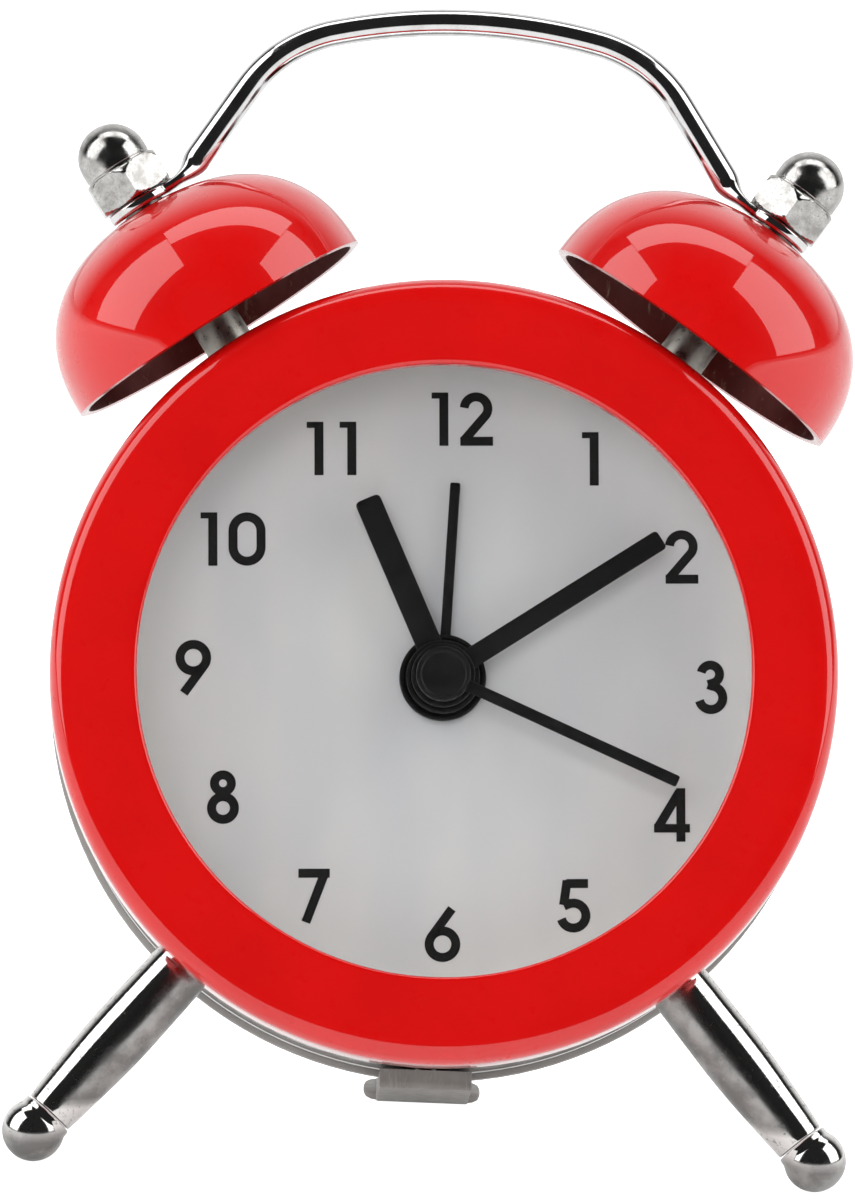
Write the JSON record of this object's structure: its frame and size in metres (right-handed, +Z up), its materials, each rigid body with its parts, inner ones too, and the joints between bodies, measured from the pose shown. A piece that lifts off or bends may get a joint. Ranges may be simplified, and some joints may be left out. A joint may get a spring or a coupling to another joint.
{
  "type": "alarm clock",
  "caption": "Small free-standing twin-bell quartz alarm clock: round red case on splayed legs, two red bells on pillars, a wire handle, and dial, minute, hour, second and alarm hands.",
  "frame": {"origin": "centre of the bounding box's bottom face, on the surface that the clock stands on", "axes": "+X to the right as the dial is read, +Y towards the back, +Z up; the dial faces -Y and leans back 20 degrees"},
  "size_m": [0.0612, 0.0402, 0.0797],
  "materials": {
    "red_enamel": "glossy red enamel on steel",
    "clear_lens": "clear polished lens",
    "silver_dial": "satin silver print with black numerals",
    "plated_drum": "bright nickel plate, lightly brushed",
    "chrome": "polished chrome plate with fine wear",
    "satin_legs": "worn satin nickel plate",
    "zinc_screws": "bright zinc plate",
    "grey_foot": "moulded grey plastic",
    "cover_plastic": "fine textured dark moulding",
    "black_plastic": "satin black",
    "white_plastic": "natural white moulding",
    "brass": "plain brass",
    "copper_winding": "enamelled copper wire",
    "core_steel": "stamped core plate",
    "magnet": "dark sintered magnet",
    "board": "green solder mask",
    "chip": "black moulding compound",
    "cell_steel": "bright steel can"
  },
  "bodies": {
    "case": {"bezel": "red_enamel", "bell_left": "red_enamel", "bell_right": "red_enamel", "lens": "clear_lens", "dial": "silver_dial", "drum": "plated_drum", "handle": "chrome", "acorn_nut_left": "chrome", "acorn_nut_right": "chrome", "bell_post_left": "chrome", "bell_post_right": "chrome", "foot_ball_left": "chrome", "foot_ball_right": "chrome", "leg_left": "satin_legs", "leg_right": "satin_legs", "leg_screw_left": "zinc_screws", "leg_screw_right": "zinc_screws", "rear_foot_screw": "zinc_screws", "post_nut_left": "zinc_screws", "post_nut_right": "zinc_screws", "case_screw_1": "zinc_screws", "case_screw_2": "zinc_screws", "case_screw_3": "zinc_screws", "cover_screw_left": "zinc_screws", "cover_screw_right": "zinc_screws", "rear_foot": "grey_foot", "back_cover": "cover_plastic", "spacer_ring": "white_plastic", "movement_front_shell": "white_plastic", "movement_rear_shell": "white_plastic", "battery_holder": "white_plastic", "contact_positive": "brass", "contact_negative": "brass", "alarm_contact": "brass", "coil": "copper_winding", "stator": "core_steel", "circuit_board": "board", "control_chip": "chip", "buzzer": "chip", "button_cell": "cell_steel", "quartz_crystal": "cell_steel"},
    "minute": {"minute_hand": "black_plastic", "minute_wheel": "brass"},
    "hour": {"hour_hand": "black_plastic", "hour_wheel": "white_plastic"},
    "motion": {"motion_wheel": "white_plastic"},
    "time_setting": {"time_setting_pinion": "white_plastic", "time_knob": "black_plastic"},
    "third_sleeve": {"third_pinion": "brass"},
    "second": {"second_hand": "black_plastic", "second_wheel": "white_plastic"},
    "third": {"third_wheel": "white_plastic"},
    "intermediate": {"intermediate_wheel": "white_plastic"},
    "motor": {"rotor": "magnet"},
    "alarm": {"alarm_hand": "black_plastic", "alarm_wheel": "white_plastic"},
    "alarm_setting": {"alarm_setting_pinion": "white_plastic", "alarm_knob": "black_plastic"},
    "alarm_slide": {"alarm_switch": "black_plastic"},
    "battery_hatch": {"battery_door": "cover_plastic"}
  },
  "joints": [
    {"name": "minute_spin", "type": "hinge", "parent": "case", "child": "minute", "pos_m": [0, 0.00146, 0.03279], "axis": [0, 0.9397, -0.342], "continuous": true},
    {"name": "hour_spin", "type": "hinge", "parent": "case", "child": "hour", "pos_m": [0, 0.00146, 0.03279], "axis": [0, 0.9397, -0.342], "continuous": true},
    {"name": "motion_spin", "type": "hinge", "parent": "case", "child": "motion", "pos_m": [-0.00339, 0.00263, 0.03598], "axis": [0, 0.9397, -0.342], "continuous": true},
    {"name": "time_knob_spin", "type": "hinge", "parent": "case", "child": "time_setting", "pos_m": [-0.00819, 0.00263, 0.03598], "axis": [0, 0.9397, -0.342], "continuous": true},
    {"name": "third_sleeve_spin", "type": "hinge", "parent": "case", "child": "third_sleeve", "pos_m": [0, -0.00011, 0.02847], "axis": [0, 0.9397, -0.342], "continuous": true},
    {"name": "second_spin", "type": "hinge", "parent": "case", "child": "second", "pos_m": [0, 0.00146, 0.03279], "axis": [0, 0.9397, -0.342], "continuous": true},
    {"name": "third_spin", "type": "hinge", "parent": "case", "child": "third", "pos_m": [0, -0.00011, 0.02847], "axis": [0, 0.9397, -0.342], "continuous": true},
    {"name": "intermediate_spin", "type": "hinge", "parent": "case", "child": "intermediate", "pos_m": [0.00416, 0.00229, 0.03504], "axis": [0, 0.9397, -0.342], "continuous": true},
    {"name": "rotor_spin", "type": "hinge", "parent": "case", "child": "motor", "pos_m": [0.00596, 0.00335, 0.03797], "axis": [0, 0.9397, -0.342], "continuous": true},
    {"name": "alarm_spin", "type": "hinge", "parent": "case", "child": "alarm", "pos_m": [0, 0.00146, 0.03279], "axis": [0, 0.9397, -0.342], "continuous": true},
    {"name": "alarm_knob_spin", "type": "hinge", "parent": "case", "child": "alarm_setting", "pos_m": [0.0047, 0.00088, 0.03118], "axis": [0, 0.9397, -0.342], "continuous": true},
    {"name": "alarm_switch_slide", "type": "slide", "parent": "case", "child": "alarm_slide", "axis": [1, 0, 0], "range_m": [0, 0.003]},
    {"name": "battery_door_lift", "type": "slide", "parent": "case", "child": "battery_hatch", "axis": [0, 0.9397, -0.342], "range_m": [0, 0.012]}
  ],
  "couplings": [
    {"joint": "hour_spin", "follows": "minute_spin", "ratio": 0.083333},
    {"joint": "motion_spin", "follows": "minute_spin", "ratio": -0.33333},
    {"joint": "time_knob_spin", "follows": "minute_spin", "ratio": 1},
    {"joint": "third_sleeve_spin", "follows": "minute_spin", "ratio": -8},
    {"joint": "third_spin", "follows": "second_spin", "ratio": -0.13333},
    {"joint": "intermediate_spin", "follows": "second_spin", "ratio": -6},
    {"joint": "rotor_spin", "follows": "second_spin", "ratio": 30},
    {"joint": "alarm_knob_spin", "follows": "alarm_spin", "ratio": -4}
  ]
}
